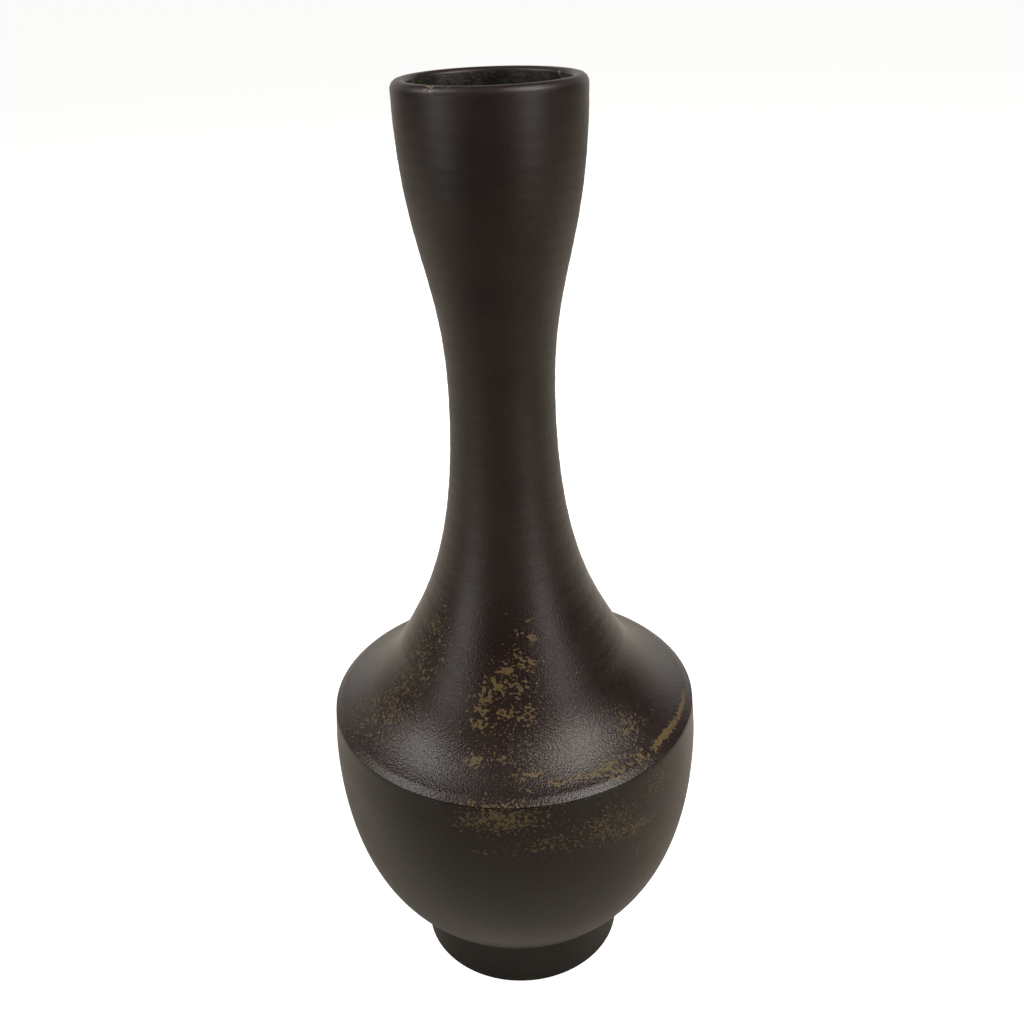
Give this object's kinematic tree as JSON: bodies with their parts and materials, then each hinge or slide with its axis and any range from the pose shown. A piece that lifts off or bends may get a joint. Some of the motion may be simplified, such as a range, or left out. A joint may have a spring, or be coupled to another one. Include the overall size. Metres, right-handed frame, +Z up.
{
  "type": "bud vase",
  "caption": "Tall bud vase with a flared mouth, a long waisted neck, a sloping shoulder with a crisp edge, a rounded bowl and a straight foot ring.",
  "frame": {"origin": "centre of the foot's underside, on the surface that the vase stands on", "axes": "+Z up along the vase's turning axis, from the foot to the mouth; X and Y are level and equivalent"},
  "size_m": [0.0988, 0.0988, 0.24],
  "materials": {
    "foot_clay": "matte",
    "bowl_glaze": "satin",
    "shoulder_glaze": "satin",
    "neck_glaze": "satin"
  },
  "bodies": {
    "root": {"foot_ring": "foot_clay", "bowl": "bowl_glaze", "shoulder": "shoulder_glaze", "neck": "neck_glaze"}
  },
  "joints": []
}
